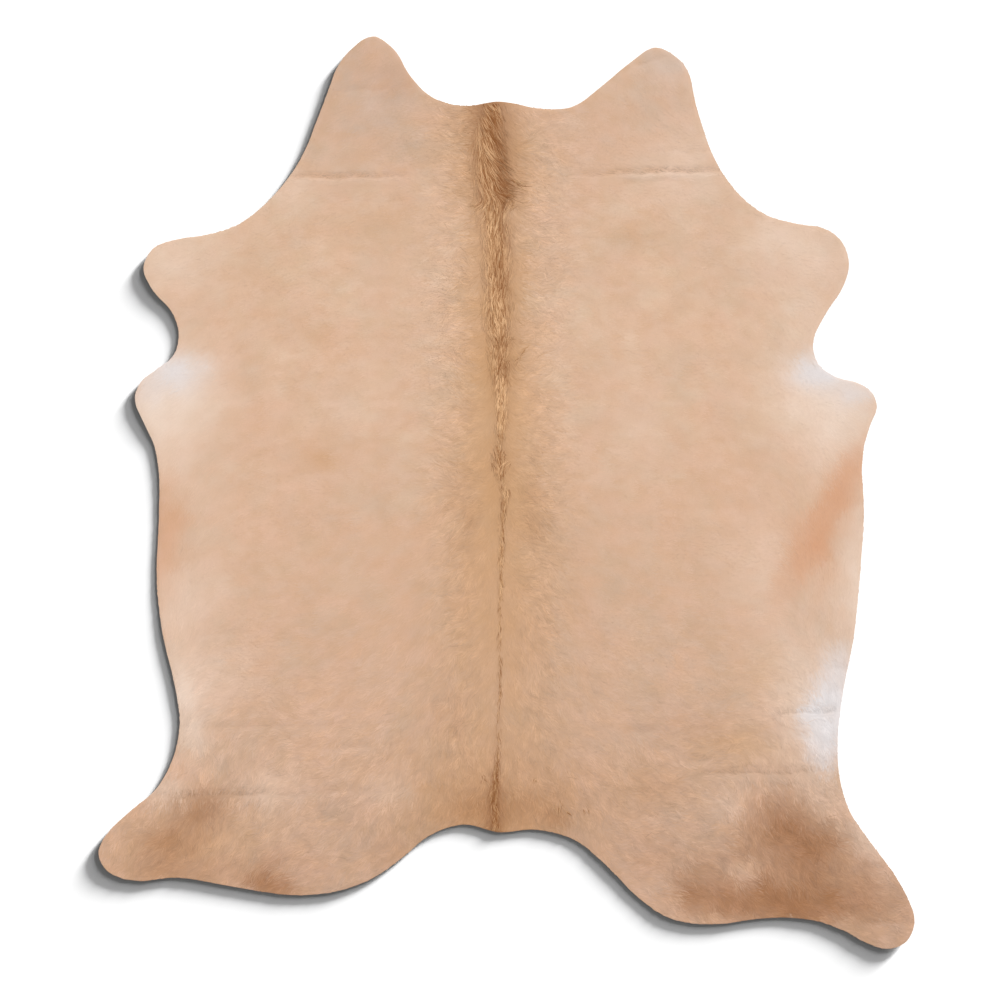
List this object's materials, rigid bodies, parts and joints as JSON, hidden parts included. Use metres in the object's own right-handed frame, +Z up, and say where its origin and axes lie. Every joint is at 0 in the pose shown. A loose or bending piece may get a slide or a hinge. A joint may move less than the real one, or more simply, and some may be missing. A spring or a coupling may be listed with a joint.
{
  "type": "cowhide rug",
  "caption": "Whole hair-on cowhide trimmed to the animal's outline, a flat rug that lies hair side up on a floor.",
  "frame": {"origin": "under the middle of the hide's box, on the floor", "axes": "+Y along the spine from tail to neck, +X to the right seen from above with the neck up, +Z up out of the hair side"},
  "size_m": [1.905, 2.13, 0.0109],
  "materials": {
    "hair_on_hide": "short beige hair laid flat on tanned cattle hide, suede side down"
  },
  "bodies": {
    "root": {"cowhide": "hair_on_hide"}
  },
  "joints": []
}
